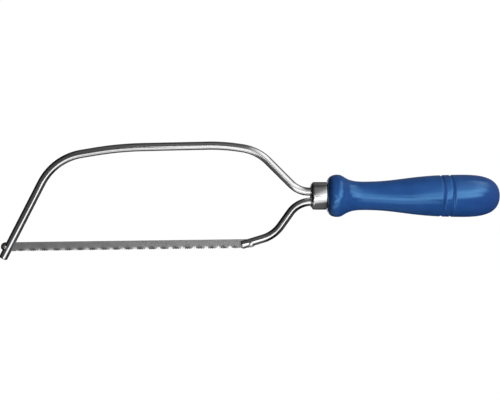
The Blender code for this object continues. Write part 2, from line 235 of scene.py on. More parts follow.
def grown(name, holder_mesh, tree, sizes):
    """A piece made by a tree from its holder's mesh; the sizes are set by their sockets' identifiers."""
    piece = bpy.data.objects.new(name, holder_mesh)
    bpy.context.scene.collection.objects.link(piece)
    modifier = piece.modifiers.new(tree.name, "NODES")
    modifier.node_group = tree
    for item in tree.interface.items_tree:
        if item.in_out == "INPUT" and item.name in sizes:
            modifier[item.identifier] = sizes[item.name]
    settle(piece)
    if piece.data.materials[0] is None:
        piece.data.materials.pop(index=0)
    return piece


print("helpers:", settle.__name__, "and", grown.__name__)

# %% [markdown]
# ## Slots, notches and holes
# On the real saw the rods are slotted and notched, the blade is punched and the grip is bored, each
# after the piece has its shape. The same order works here. A slot could be modelled face by face, but
# an exact boolean takes a plain cutter out of any shape, and it keeps the values stored on the
# corners, which the finishes read.

# %% Cutters
HOLE_SIDES = 48


def heading(slope):
    """Unit vector in the saw's plane, at an angle above +X."""
    return Vector((math.cos(slope), 0.0, math.sin(slope)))


def facing(point, slope):
    """Placement whose X axis runs along a slope of the saw's plane, with Y across the plane."""
    return Matrix.Translation(point) @ Matrix.Rotation(-slope, 4, "Y")


def block(size, placement):
    """Box, centred on its placement."""
    solid = bmesh.new()
    bmesh.ops.create_cube(solid, size=1.0, matrix=placement @ Matrix.Diagonal((*size, 1.0)))
    return solid


def long_hole(radius, reach, length, placement):
    """Cylinder along Y, centred on its placement, with its +X half drawn out by reach."""
    solid = bmesh.new()
    half_side = Matrix.Rotation(math.pi / HOLE_SIDES, 4, "Z")
    bmesh.ops.create_cone(
        solid,
        cap_ends=True,
        segments=HOLE_SIDES,
        radius1=radius,
        radius2=radius,
        depth=length,
        matrix=Matrix.Rotation(math.pi / 2, 4, "X") @ half_side,
    )
    for vertex in solid.verts:
        if vertex.co.x > 0:
            vertex.co.x += reach
    solid.transform(placement)
    return solid


print("holes have", HOLE_SIDES, "sides")


# %% Carving
def carve(piece, *cutters):
    """Cuts each bmesh solid out of the piece."""
    tools = []
    for cutter in cutters:
        mesh = bpy.data.meshes.new("cutter")
        cutter.to_mesh(mesh)
        cutter.free()
        tool = bpy.data.objects.new("cutter", mesh)
        bpy.context.scene.collection.objects.link(tool)
        cut = piece.modifiers.new("cut", "BOOLEAN")
        cut.operation = "DIFFERENCE"
        cut.solver = "EXACT"
        cut.object = tool
        tools.append(tool)
    bpy.context.view_layer.update()
    settle(piece)
    for tool in tools:
        bpy.data.objects.remove(tool)


print("helper:", carve.__name__)

# %% [markdown]
# ## Standing in for a solid
# Each finished piece hides the CAD solid of its own name and rides on that solid's body. It could be
# smooth all over, but then cut edges would look like wax, so edges sharper than a set angle stay
# crisp.

# %% Standing in
SHARP_ANGLE = math.radians(35.0)


def stand_in(piece, body):
    """Closes a finished piece, shades it smooth, and puts it in the frame over its CAD node."""
    node = piece.name.removesuffix("_look")
    cleaned = bmesh.new()
    cleaned.from_mesh(piece.data)
    bmesh.ops.remove_doubles(cleaned, verts=cleaned.verts, dist=MERGE_DISTANCE)
    bmesh.ops.recalc_face_normals(cleaned, faces=cleaned.faces)
    open_edges = sum(1 for edge in cleaned.edges if not edge.is_manifold)
    cleaned.to_mesh(piece.data)
    cleaned.free()
    piece.data.shade_smooth()
    piece.data.set_sharp_from_angle(angle=SHARP_ANGLE)
    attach(piece, body)
    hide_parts(node)
    triangles = sum(len(face.vertices) - 2 for face in piece.data.polygons)
    print(piece.name, "stands for", node, "with", triangles, "triangles,", open_edges, "open edges")


print("edges sharper than", round(math.degrees(SHARP_ANGLE)), "degrees stay crisp")

# %% [markdown]
# ## Finish: bright plating
# The bow and the tail are drawn steel under a thin bright plating. Drawing leaves faint lines along
# the rod, and plating softens them and adds a few dull spots. A pattern on plain Object coordinates
# would cut straight through the bends, so the rods carry their own coordinates: how far along the
# rod, and where round it. Pattern scales are in waves to the metre, here and in the other finishes.

# %% Bright plating
PLATE_BRIGHT = (0.63, 0.63, 0.635, 1)
PLATE_DULL = (0.52, 0.52, 0.52, 1)


def new_finish(name):
    """A material, its tree as a wire, and its Principled shader."""
    material = bpy.data.materials.new(name)
    material.use_nodes = True
    shader = material.node_tree.nodes["Principled BSDF"]
    return material, Wire(material.node_tree), shader


def feed(shader, wires):
    """Links wires to sockets of a shader, or sets plain values on them."""
    for name, value in wires.items():
        if isinstance(value, Wire):
            value.tree.links.new(value.socket, shader.inputs[name])
        else:
            shader.inputs[name].default_value = value


def bumped(height, strength, distance):
    """Normal that a Bump node makes from a height."""
    return height.node("ShaderNodeBump", {}, {"Height": height, "Strength": strength, "Distance": distance})


plated, bench, shader = new_finish("bright_plating")
on_rod = bench.node("ShaderNodeAttribute", {"attribute_name": "on_rod"}, output=1)
draw_lines = on_rod.stretched(70.0, 3600.0, 3600.0).grain(1.0, 4.0)  # 0.3 mm wide, 14 mm long
dull_spots = on_rod.grain(420.0, 2.0).fade(0.62, 0.72)  # about 2 mm across
smears = on_rod.stretched(1.0, 2.0, 2.0).grain(90.0)  # about 11 mm long
feed(shader, {
    "Base Color": blended(dull_spots * 0.1 + smears * 0.2, PLATE_BRIGHT, PLATE_DULL),
    "Metallic": 1.0,
    "Roughness": 0.12 + smears * 0.04 + dull_spots * 0.02,
    "Normal": bumped(draw_lines, 0.003, 0.03 * MM),
})
print("finish:", plated.name)

# %% [markdown]
# ## Shape: bent rod
# Each rod is one wire sheared to length and bent in a former. A Bezier curve could follow it by eye,
# but it would hide the bends in its handles. A maker thinks in straight runs and bend radii, and so
# does the tree: the holder mesh is only the corners, each with its radius, and Fillet Curve rounds
# them before a circle is swept along. The ends are not cut square: a few extra points near each end
# carry a smaller girth, which rolls the edge over as the tumbling barrel does before plating.

# %% Rod tree
rod_tree, rod_in = new_tree(
    "bent_rod", {"Rod Radius": "Float", "Bend Points": "Int", "Sides": "Int", "Finish": "Material"}
)
corner_line = rod_in["Geometry"].node("GeometryNodeMeshToCurve", {}, {"Mesh": rod_in["Geometry"]})
bent_line = corner_line.node("GeometryNodeFilletCurve", {"mode": "POLY"}, {
    "Curve": corner_line,
    "Count": rod_in["Bend Points"],
    "Radius": recalled(rod_tree, "bend_radius"),
    "Limit Radius": True,
})
length_along = bent_line.node("GeometryNodeSplineParameter", output=1)
marked_line = marked(bent_line, "along", length_along, "FLOAT", "POINT")
circle = Wire(rod_tree).node(
    "GeometryNodeCurvePrimitiveCircle", {}, {"Resolution": rod_in["Sides"], "Radius": rod_in["Rod Radius"]}
)
marked_circle = marked(circle, "across", circle.node("GeometryNodeInputPosition"), domain="POINT")
swept = marked_line.node("GeometryNodeCurveToMesh", {}, {
    "Curve": marked_line,
    "Profile Curve": marked_circle,
    "Scale": recalled(rod_tree, "girth"),
    "Fill Caps": True,
})
across_x, across_y, _ = recalled(rod_tree, "across", "FLOAT_VECTOR").parts()
rod_place = joined(recalled(rod_tree, "along"), across_x, across_y)
end_tree(rod_tree, marked(swept, "on_rod", rod_place), rod_in["Finish"])
print("rod tree:", len(rod_tree.nodes), "nodes")

# %% Rod pieces
ROD_RADIUS = 2.5 * MM
ROD_SIDES = 64
BEND_POINTS = 26
END_ROUND = 0.7 * MM
END_POINTS = 6


def rounded_end(end, inward):
    """Points that roll over the end of a rod, as (place, bend radius, girth), from the end face inwards."""
    points = []
    for step in range(END_POINTS + 1):
        turn = step / END_POINTS * math.pi / 2
        place = end + inward * END_ROUND * (1 - math.cos(turn))
        points.append((place, 0.0, 1 - END_ROUND * (1 - math.sin(turn)) / ROD_RADIUS))
    return points


def bent_rod(name, start, bends, end):
    """A rod from its start over its bends, each a corner and a radius, to its end."""
    first_way = (bends[0][0] - start).normalized()
    last_way = (bends[-1][0] - end).normalized()
    stations = rounded_end(start, first_way)
    stations += [(corner, radius, 1.0) for corner, radius in bends]
    stations += reversed(rounded_end(end, last_way))
    places, radii, girths = zip(*stations)
    mesh = bpy.data.meshes.new(name)
    mesh.from_pydata(places, [(number, number + 1) for number in range(len(places) - 1)], [])
    for attribute, values in (("bend_radius", radii), ("girth", girths)):
        mesh.attributes.new(attribute, "FLOAT", "POINT").data.foreach_set("value", values)
    sizes = {"Rod Radius": ROD_RADIUS, "Bend Points": BEND_POINTS, "Sides": ROD_SIDES, "Finish": plated}
    return grown(name, mesh, rod_tree, sizes)


print("a bend has", BEND_POINTS, "points, a rolled end", END_POINTS + 1)

# %% [markdown]
# ## The bow
# From the nose the bow climbs steeply, rolls over a tight front corner into a long top bar that is
# never quite straight, drops at the rear corner and levels out again to enter the ferrule. A traced
# curve would need dozens of points. Five corners and five radii are enough, because that is how it was
# bent. A sawn slot in the nose takes the blade, and a round-bottomed notch in its outer side takes the
# blade's front pin.

# %% Bow sizes
LEG_SLOPE = math.radians(62.9)
FRONT_TOP_SLOPE = math.radians(9.5)
MIDDLE_TOP_SLOPE = math.radians(1.25)
REAR_TOP_SLOPE = math.radians(-8.35)
REAR_LEG_SLOPE = math.radians(-45.0)
BLADE_SLOPE = math.atan2(REAR_PIN.z - FRONT_PIN.z, REAR_PIN.x - FRONT_PIN.x)
FRONT_CORNER_RADIUS = 32.5 * MM
FRONT_SHOULDER_RADIUS = 200.0 * MM
REAR_SHOULDER_RADIUS = 110.0 * MM
REAR_CORNER_RADIUS = 28.0 * MM
TANG_BEND_RADIUS = 15.0 * MM
FRONT_PIN_DEPTH = 0.7 * MM
NOSE_REACH = 6.9 * MM
FRONT_SHOULDER_X = FRONT_PIN.x + 67.0 * MM
REAR_SHOULDER = Vector((MOUTH_X - 52.1 * MM, 0.0, 29.9 * MM))
BOW_TANG_Z = 2.5 * MM
BOW_BEND = Vector((MOUTH_X - 7.2 * MM, 0.0, BOW_TANG_Z))
TANG_END_X = MOUTH_X + 45.0 * MM
BLADE_HALF = 2.7 * MM
SLOT_GAP = 0.4 * MM
PIN_SEAT_RADIUS = 1.2 * MM
CUT_THROUGH = 4 * ROD_RADIUS
SLOT_SIZE = (20.0 * MM, 1.25 * MM, CUT_THROUGH)
print("blade at", round(math.degrees(BLADE_SLOPE), 2), "degrees, leg at", round(math.degrees(LEG_SLOPE), 1))


# %% Bow
def crossing(point_a, slope_a, point_b, slope_b):
    """Where two lines in the saw's plane meet, each given by a point and its angle above +X."""
    along_a = heading(slope_a)
    along_b = heading(slope_b)
    apart = point_b - point_a
    spread = along_a.x * along_b.z - along_a.z * along_b.x
    return point_a + along_a * (apart.x * along_b.z - apart.z * along_b.x) / spread


def saw_slot(deep_end, slope):
    """Cutter for a sawn slot that ends at a point and runs back from it, out of the rod's end."""
    return block(SLOT_SIZE, facing(deep_end - heading(slope) * SLOT_SIZE[0] / 2, slope))


outwards = LEG_SLOPE + math.pi / 2
front_offset = ROD_RADIUS - FRONT_PIN_DEPTH
front_foot = FRONT_PIN - heading(outwards) * front_offset
nose_end = front_foot - heading(LEG_SLOPE) * NOSE_REACH
shoulder_foot = Vector((FRONT_SHOULDER_X, 0.0, 0.0))
front_shoulder = crossing(REAR_SHOULDER, MIDDLE_TOP_SLOPE, shoulder_foot, math.pi / 2)
front_corner = crossing(front_shoulder, FRONT_TOP_SLOPE, front_foot, LEG_SLOPE)
rear_corner = crossing(REAR_SHOULDER, REAR_TOP_SLOPE, BOW_BEND, REAR_LEG_SLOPE)
bow_bends = [
    (front_corner, FRONT_CORNER_RADIUS),
    (front_shoulder, FRONT_SHOULDER_RADIUS),
    (REAR_SHOULDER, REAR_SHOULDER_RADIUS),
    (rear_corner, REAR_CORNER_RADIUS),
    (BOW_BEND, TANG_BEND_RADIUS),
]
bow = bent_rod("bow_rod_look", nose_end, bow_bends, Vector((TANG_END_X, 0.0, BOW_TANG_Z)))
lean = LEG_SLOPE - BLADE_SLOPE
slot_rise = (front_offset + ROD_RADIUS) / math.tan(lean) + BLADE_HALF / math.sin(lean) + SLOT_GAP
carve(
    bow,
    saw_slot(front_foot + heading(LEG_SLOPE) * slot_rise, LEG_SLOPE),
    long_hole(PIN_SEAT_RADIUS, CUT_THROUGH / 2, CUT_THROUGH, facing(FRONT_PIN, outwards)),
)
stand_in(bow, "frame")

# %% [markdown]
# ## The tail
# The tail is the same rod, shorter: out of the ferrule, down, and forward to meet the blade. It could
# be a branch of the bow's mesh, but the real saw has two rods, so it gets its own sweep from two
# corners. Its end is slotted as the nose is, and its notch opens downwards, so that squeezing the bow
# lets the rear pin drop out.

# %% Tail
TAIL_SLOPE = math.radians(16.9)
TAIL_RISE_SLOPE = math.radians(54.5)
TAIL_CORNER_RADIUS = 20.0 * MM
REAR_PIN_DEPTH = 1.75 * MM
TAIL_REACH = 5.6 * MM
TAIL_TANG_Z = -3.5 * MM
TAIL_BEND = Vector((MOUTH_X - 7.6 * MM, 0.0, TAIL_TANG_Z))

rear_foot = REAR_PIN + heading(TAIL_SLOPE + math.pi / 2) * (ROD_RADIUS - REAR_PIN_DEPTH)
tail_end = rear_foot - heading(TAIL_SLOPE) * TAIL_REACH
tail_corner = crossing(rear_foot, TAIL_SLOPE, TAIL_BEND, TAIL_RISE_SLOPE)
tail_bends = [(tail_corner, TAIL_CORNER_RADIUS), (TAIL_BEND, TANG_BEND_RADIUS)]
tail = bent_rod("tail_rod_look", tail_end, tail_bends, Vector((TANG_END_X, 0.0, TAIL_TANG_Z)))
carve(
    tail,
    saw_slot(rear_foot + heading(TAIL_SLOPE) * (BLADE_HALF + SLOT_GAP), TAIL_SLOPE),
    long_hole(PIN_SEAT_RADIUS, CUT_THROUGH, CUT_THROUGH, facing(REAR_PIN, -math.pi / 2)),
)
stand_in(tail, "frame")

# %% [markdown]
# ## Finish: blade steel
# The blade is a hardened strip, dull grey from the furnace, with rolling lines along it. Its lower
# edge is milled into teeth and then pressed into a wave, so that the kerf is wider than the strip. The
# hollows of the wave carry a painted highlight, the crests painted shade, and the end in the nose is
# painted dark as shade. Those marks could be painted as a stripe pattern, but it would have to be lined
# up with the wave by hand. Here the shape stores how far each point was pressed, so the marks follow
# the wave, and the side that a face is on tells a hollow from a crest.

# %% Blade steel
STRIP_DARK = (0.252, 0.252, 0.257, 1)
STRIP_LIGHT = (0.30, 0.30, 0.305, 1)
# Painted shade for the crests and a painted highlight for the hollows of the wave.
PAINTED_CREST_SHADE = (0.17, 0.17, 0.17, 1)
PAINTED_HOLLOW_HIGHLIGHT = (0.95, 0.95, 0.95, 1)
# Painted shade for the end of the blade inside the nose.
PAINTED_NOSE_SHADE = (0.03, 0.03, 0.03, 1)

blade_steel, bench, shader = new_finish("furnace_grey_steel")
on_blade = bench.node("ShaderNodeAttribute", {"attribute_name": "on_blade"}, output=1)
blade_along, blade_up, press = on_blade.parts()
_, side_y, _ = bench.node("ShaderNodeTexCoord", output=1).parts()
strip_place = joined(blade_along, blade_up, 0.0)
roll_lines = strip_place.stretched(60.0, 2600.0, 1.0).grain(1.0, 4.0)  # 0.4 mm wide, 17 mm long
clouds = strip_place.stretched(1.0, 2.5, 1.0).grain(110.0, 4.0)  # about 9 mm long
# Painted highlight in the hollows and painted shade on the crests, weaker towards the front of the blade.
highlight_strength = 0.35 + 0.65 * blade_along.fade(30.0 * MM, 100.0 * MM)
hollow = (-1.0 * press * side_y).fade(0.12, 0.5) * highlight_strength
crest = (press * side_y).fade(0.1, 0.6)
grey = blended(clouds.fade(0.25, 0.75), STRIP_DARK, STRIP_LIGHT)
wave_colour_with_painted_light = blended(hollow, blended(crest, grey, PAINTED_CREST_SHADE), PAINTED_HOLLOW_HIGHLIGHT)
# Painted shade: the end of the blade inside the nose is darkened.
nose_shade = 1.0 - blade_along.fade(1.0 * MM, 5.5 * MM)
feed(shader, {
    "Base Color": blended(nose_shade * 0.9, wave_colour_with_painted_light, PAINTED_NOSE_SHADE),
    "Metallic": 0.70 - hollow * 0.5,
    "Roughness": 0.46 + clouds * 0.10 - hollow * 0.15,
    "Normal": bumped(roll_lines, 0.10, 0.04 * MM),
})
print("finish:", blade_steel.name)

# %% [markdown]
# ## Shape: a strip with a wave in its edge
# The teeth could be copies of one tooth set side by side, but each copy would leave a seam, and the
# wave would have to bend them all. In one grid every column knows its place along the blade and every
# row its height, so the whole blade is one rule. The first and last columns follow a quarter turn to
# round the ends. The columns between step through the teeth, and each tooth is steep at its front and
# climbs slowly behind. Rows near the teeth swing sideways with a sine.

# %% Blade grid
END_COLUMNS = 14
TOOTH_COLUMNS = 5
SET_ROWS = 8
GRID_ROWS = SET_ROWS + 2

blade_tree, blade_in = new_tree("toothed_strip", {
    "Pin Spacing": "Float",
    "Half Height": "Float",
    "Teeth": "Int",
    "Tooth Pitch": "Float",
    "Tooth Depth": "Float",
    "End Relief": "Float",
    "Set Height": "Float",
    "Set Wave": "Float",
    "Set Phase": "Float",
    "Set Swing": "Float",
    "Finish": "Material",
})
tooth_steps = blade_in["Teeth"] * TOOTH_COLUMNS
# Two round ends, one plain step beside each, the teeth between, and the last column to close the row.
columns = tooth_steps + (2 * END_COLUMNS + 3)
sheet = Wire(blade_tree).node("GeometryNodeMeshGrid", {}, {"Vertices X": columns, "Vertices Y": GRID_ROWS})
index = Wire(blade_tree).node("GeometryNodeInputIndex")
column = (index / GRID_ROWS).floor()
row = index - column * GRID_ROWS
print("blade grid:", GRID_ROWS, "rows,", TOOTH_COLUMNS, "columns to a tooth")

# %% Blade outline
QUARTER_TURN = math.pi / 2

front_turn = (column / END_COLUMNS).held() * QUARTER_TURN
front_plain = (column - END_COLUMNS).held()
tooth_step = ((column - (END_COLUMNS + 1)) / tooth_steps).held() * tooth_steps
rear_plain = (column - tooth_steps - (END_COLUMNS + 1)).held()
rear_turn = ((column - tooth_steps - (END_COLUMNS + 2)) / END_COLUMNS).held() * QUARTER_TURN
half_height = blade_in["Half Height"]
toothed_length = blade_in["Teeth"] * blade_in["Tooth Pitch"]
margin = (blade_in["Pin Spacing"] - toothed_length) / 2
tooth_place = tooth_step * (blade_in["Tooth Pitch"] / TOOTH_COLUMNS)
strip_x = (
    margin * (front_plain + rear_plain)
    + tooth_place
    + half_height * (rear_turn.sine() - front_turn.cosine())
)
strip_half = half_height * front_turn.sine() * rear_turn.cosine()
print("blade outline:", len(blade_tree.nodes), "nodes so far")

# %% Blade teeth
TOOTH_CLIMB = 0.8
ROUNDING_GUARD = 0.001

teeth_passed = tooth_step / TOOTH_COLUMNS
in_tooth = teeth_passed - (teeth_passed + ROUNDING_GUARD).floor()
climb = in_tooth / TOOTH_CLIMB
drop = (1.0 - in_tooth) / (1.0 - TOOTH_CLIMB)
gullet = in_tooth.math("MINIMUM", climb, drop).held() * blade_in["Tooth Depth"]
set_row = (row / SET_ROWS).held()
above_set = (row - SET_ROWS).held()
set_line = (blade_in["Set Height"] / half_height - 1.0) * strip_half
in_teeth = front_plain * (1.0 - rear_plain)
end_cut = (1.0 - in_teeth) * strip_half / half_height * blade_in["End Relief"]
tooth_line = gullet + end_cut - strip_half
strip_z = tooth_line + (set_line - tooth_line) * set_row + (strip_half - set_line) * above_set
print("blade teeth:", len(blade_tree.nodes), "nodes so far")

# %% Blade set
SET_POWER = 1.6
SET_RUN_IN = 3.0 * MM

bend_share = (1.0 - set_row) ** SET_POWER
wave = ((tooth_place + blade_in["Set Phase"]) / blade_in["Set Wave"] * (2 * math.pi)).sine()
run_in = (tooth_place / SET_RUN_IN).held() * ((toothed_length - tooth_place) / SET_RUN_IN).held()
press_share = wave * bend_share * in_teeth * run_in
strip_y = blade_in["Set Swing"] * press_share
shaped = sheet.node(
    "GeometryNodeSetPosition", {}, {"Geometry": sheet, "Position": joined(strip_x, strip_y, strip_z)}
)
# The rule counts points, so it is worked out on the points before the corners take it over.
blade_rule = joined(strip_x, strip_z, press_share)
at_points = blade_rule.node(
    "GeometryNodeFieldOnDomain", {"data_type": "FLOAT_VECTOR", "domain": "POINT"}, {"Value": blade_rule}
)
end_tree(blade_tree, merged(marked(shaped, "on_blade", at_points)), blade_in["Finish"])
print("blade tree:", len(blade_tree.nodes), "nodes")

# %% Blade
PIN_SPACING = (REAR_PIN - FRONT_PIN).length
BLADE_THICKNESS = 0.65 * MM

blade = grown("blade_look", bpy.data.meshes.new("blade_look"), blade_tree, {
    "Pin Spacing": PIN_SPACING,
    "Half Height": BLADE_HALF,
    "Teeth": 126,
    "Tooth Pitch": 1.06 * MM,
    "Tooth Depth": 0.6 * MM,
    "End Relief": 0.45 * MM,
    "Set Height": 2.4 * MM,
    "Set Wave": 7.04 * MM,
    "Set Phase": 1.27 * MM,
    "Set Swing": 0.45 * MM,
    "Finish": blade_steel,
})
wall = blade.modifiers.new("thickness", "SOLIDIFY")
wall.thickness = BLADE_THICKNESS
wall.offset = 0.0
settle(blade)
carve(
    blade,
    long_hole(PIN_SEAT_RADIUS, 0.0, CUT_THROUGH, Matrix.Identity(4)),
    long_hole(PIN_SEAT_RADIUS, 0.0, CUT_THROUGH, Matrix.Translation((PIN_SPACING, 0.0, 0.0))),
)
blade.data.transform(facing(FRONT_PIN, BLADE_SLOPE))
stand_in(blade, "blade")

# %% [markdown]
# ## Shape: turned work
# Grip, ferrule and pins are all round about one axis. Spin or the Screw modifier could turn them, but
# both can leave a seam or turn the shape inside out. One tree serves as the lathe instead. The holder
# mesh is the profile, a row of points that gives the place along the axis as X and the radius as Z. A
# grid has one column for each point and one row for each step of the turn, and Sample Index looks the
# profile up. Merging by distance closes seam and poles.

# %% Lathe tree
lathe_tree, lathe_in = new_tree("lathe", {"Sides": "Int", "Finish": "Material"})
profile = lathe_in["Geometry"]
point_count = profile.node("GeometryNodeAttributeDomainSize", {"component": "MESH"}, {"Geometry": profile})
turn_rows = lathe_in["Sides"] + 1
blank = profile.node("GeometryNodeMeshGrid", {}, {"Vertices X": point_count, "Vertices Y": turn_rows})
lathe_index = profile.node("GeometryNodeInputIndex")
profile_point = (lathe_index / turn_rows).floor()
turn_angle = (lathe_index - profile_point * turn_rows) / lathe_in["Sides"] * (2 * math.pi)
looked_up = profile.node(
    "GeometryNodeSampleIndex",
    {"data_type": "FLOAT_VECTOR", "domain": "POINT"},
    {"Geometry": profile, "Value": profile.node("GeometryNodeInputPosition"), "Index": profile_point},
)
turned_x, _, turned_radius = looked_up.parts()
turned_place = joined(turned_x, turned_radius * turn_angle.cosine(), turned_radius * turn_angle.sine())
turned_shape = blank.node("GeometryNodeSetPosition", {}, {"Geometry": blank, "Position": turned_place})
end_tree(lathe_tree, merged(turned_shape), lathe_in["Finish"])
print("lathe tree:", len(lathe_tree.nodes), "nodes")

# %% Turned pieces
TURNED_SIDES = 128


def turned(name, outline, sides, finish):
    """A turned piece about X from (place, radius) points."""
    mesh = bpy.data.meshes.new(name)
    mesh.from_pydata([(place, 0.0, radius) for place, radius in outline], [], [])
    return grown(name, mesh, lathe_tree, {"Sides": sides, "Finish": finish})


def rounded(centre_x, centre_radius, size, start_turn, steps):
    """Quarter round about a centre, as (place, radius) points; a turn of 0 points along +X, 90 outwards."""
    points = []
    for step in range(steps + 1):
        turn = math.radians(start_turn + 90.0 * step / steps)
        points.append((centre_x + size * math.cos(turn), centre_radius + size * math.sin(turn)))
    return points


print("ferrule and grip have", TURNED_SIDES, "sides")

# %% [markdown]
# ## The ferrule
# The ferrule is a drawn cap: a short sleeve, rolled over at the front into a lip round the two rods
# and broken at its back edge. It keeps the grip from splitting. The rods' plating would run its lines
# along the saw, but a cap that is drawn and spun has them round it, so it gets a plating of its own, a
# little softer than the rods'.

# %% Drawn cap finish
CAP_BRIGHT = (0.70, 0.70, 0.705, 1)
CAP_DULL = (0.60, 0.60, 0.60, 1)

drawn_cap, bench, shader = new_finish("drawn_cap_plating")
on_cap = bench.node("ShaderNodeTexCoord", output=3)
cap_lines = on_cap.stretched(5200.0, 120.0, 120.0).grain(1.0)  # 0.2 mm wide, 8 mm long
cap_smears = on_cap.grain(260.0)  # about 4 mm across
feed(shader, {
    "Base Color": blended(cap_smears, CAP_BRIGHT, CAP_DULL),
    "Metallic": 1.0,
    "Roughness": 0.17 + cap_smears * 0.05,
    "Normal": bumped(cap_lines, 0.05, 0.03 * MM),
})
print("finish:", drawn_cap.name)

# %% Ferrule
FERRULE_RADIUS = 8.25 * MM
FERRULE_WALL = 0.8 * MM
LIP_ROUND = 2.0 * MM
LIP_STEPS = 12
BACK_ROUND = 0.6 * MM
BACK_STEPS = 6
MOUTH_RADIUS = 6.5 * MM
MOUTH_CHAMFER = 0.2 * MM

inner_radius = FERRULE_RADIUS - FERRULE_WALL
inside_x = MOUTH_X + FERRULE_WALL
ferrule_outline = [
    (FERRULE_BACK_X, inner_radius),
    *rounded(FERRULE_BACK_X - BACK_ROUND, FERRULE_RADIUS - BACK_ROUND, BACK_ROUND, 0.0, BACK_STEPS),
    *rounded(MOUTH_X + LIP_ROUND, FERRULE_RADIUS - LIP_ROUND, LIP_ROUND, 90.0, LIP_STEPS),
    (MOUTH_X, MOUTH_RADIUS + MOUTH_CHAMFER),
    (MOUTH_X + MOUTH_CHAMFER, MOUTH_RADIUS),
    (inside_x, MOUTH_RADIUS),
    (inside_x, inner_radius),
    (FERRULE_BACK_X, inner_radius),
]
ferrule = turned("ferrule_look", ferrule_outline, TURNED_SIDES, drawn_cap)
stand_in(ferrule, "frame")

# %% [markdown]
# ## Finish: blue lacquer
# The grip is turned wood under several dips of blue lacquer. A plain glossy blue would look like
# moulded plastic. Dipping leaves a skin that is glossy but not flat: it sags a little, and the grain
# still shows through as long low ripples. The grooves and the shoulder against the ferrule are darker,
# as painted shade. A blue sheen keeps the rim of the grip blue, where bare gloss would lose its colour.

# %% Blue lacquer
GROOVE_PLACES = (BUTT_X - 29.1 * MM, BUTT_X - 34.5 * MM)
FRESH_BLUE = (0.019, 0.076, 0.268, 1)
SAGGED_BLUE = (0.023, 0.091, 0.316, 1)
AGED_BLUE = (0.027, 0.064, 0.262, 1)
# Painted shade for the grooves and the shoulder next to the ferrule.
PAINTED_SHADE_BLUE = (0.003, 0.010, 0.040, 1)

lacquer, bench, shader = new_finish("blue_lacquer_skin")
on_grip = bench.node("ShaderNodeTexCoord", output=3)
grip_x, _, _ = on_grip.parts()
grain_ripples = on_grip.stretched(30.0, 420.0, 420.0).grain(1.0)  # 2.4 mm wide, 33 mm long
sags = on_grip.stretched(1.0, 1.6, 1.6).grain(70.0, 2.0)  # about 14 mm long
peel = on_grip.grain(900.0, 2.0)  # about 1 mm across
# Painted shade: the grooves and the shoulder next to the ferrule are darkened in the base colour.
groove_shade = 0.0
for place in GROOVE_PLACES:
    groove_shade = groove_shade + (1.0 - (grip_x - place).size().fade(0.1 * MM, 0.6 * MM))
ferrule_shade = 1.0 - grip_x.fade(FERRULE_BACK_X + 0.5 * MM, FERRULE_BACK_X + 4.5 * MM)
blue = blended(sags.fade(0.3, 0.7), FRESH_BLUE, SAGGED_BLUE)
aged_blue = blended(grip_x.fade(20.0 * MM, 50.0 * MM) * 0.5, blue, AGED_BLUE)
feed(shader, {
    "Base Color": blended((groove_shade * 0.3 + ferrule_shade * 0.8).held(), aged_blue, PAINTED_SHADE_BLUE),
    "Roughness": 0.08 + grain_ripples * 0.06,
    "IOR": 1.85,
    "Sheen Weight": 0.5,
    "Sheen Roughness": 0.4,
    "Sheen Tint": (0.03, 0.14, 0.42, 1),
    "Specular Tint": (0.24, 0.64, 1.0, 1.0),
    "Normal": bumped(grain_ripples * 0.3 + sags * 0.6 + peel * 0.9, 0.15, 0.4 * MM),
})
print("finish:", lacquer.name)

# %% [markdown]
# ## The grip
# A turner works to a few stations and lets the chisel flow between them. So four smooth curves make
# the outline: the domed butt, the swell, the waist and the bulge behind the ferrule. A list of traced
# radii could do it too, but it would leave ripples in the gloss. Two grooves are turned into the
# swell, with edges that the lacquer has rounded. A spigot goes into the ferrule, and an oblong mortise
# takes both tangs.

# %% Grip sizes
SHOULDER = Vector((FERRULE_BACK_X + 0.3 * MM, FERRULE_RADIUS + 0.4 * MM))
BULGE = Vector((FERRULE_BACK_X + 6.0 * MM, 12.6 * MM))
WAIST = Vector((FERRULE_BACK_X + 21.7 * MM, 8.45 * MM))
SWELL = Vector((BUTT_X - 21.4 * MM, 12.55 * MM))
BUTT = Vector((BUTT_X, 0.0))
BUTT_FULLNESS = 0.82
BUTT_LEVEL = 0.60
SWELL_LEVEL = 0.54
WAIST_BACK_LEVEL = 0.37
WAIST_FRONT_LEVEL = 0.75
BULGE_LEVEL = 0.32
SHOULDER_ROUND = 0.56
RUN_POINTS = (64, 240, 64, 24)
GROOVE_HALF = 1.1 * MM
GROOVE_DEPTH = 0.6 * MM
SPIGOT_RADIUS = 7.15 * MM
SPIGOT_X = MOUTH_X + FERRULE_WALL + 0.3 * MM
MORTISE_RADIUS = ROD_RADIUS + 0.3 * MM
MORTISE_DEPTH = TANG_END_X + 0.5 * MM - SPIGOT_X
print("grip is", round((BUTT_X - SHOULDER.x) / MM, 1), "mm long behind the ferrule")


# %% Grip
def level_run(start, start_share, end, end_share):
    """Curve that is level at both ends; the shares say how long it stays level."""
    run = Vector((end.x - start.x, 0.0))
    return start, start + run * start_share, end - run * end_share, end


def grooved(place, radius):
    """The radius at a place, less the grooves there, which have a round bottom and rounded edges."""
    for groove in GROOVE_PLACES:
        near = max(0.0, 1 - abs(place - groove) / GROOVE_HALF)
        radius -= GROOVE_DEPTH * near * near * (3 - 2 * near)
    return radius


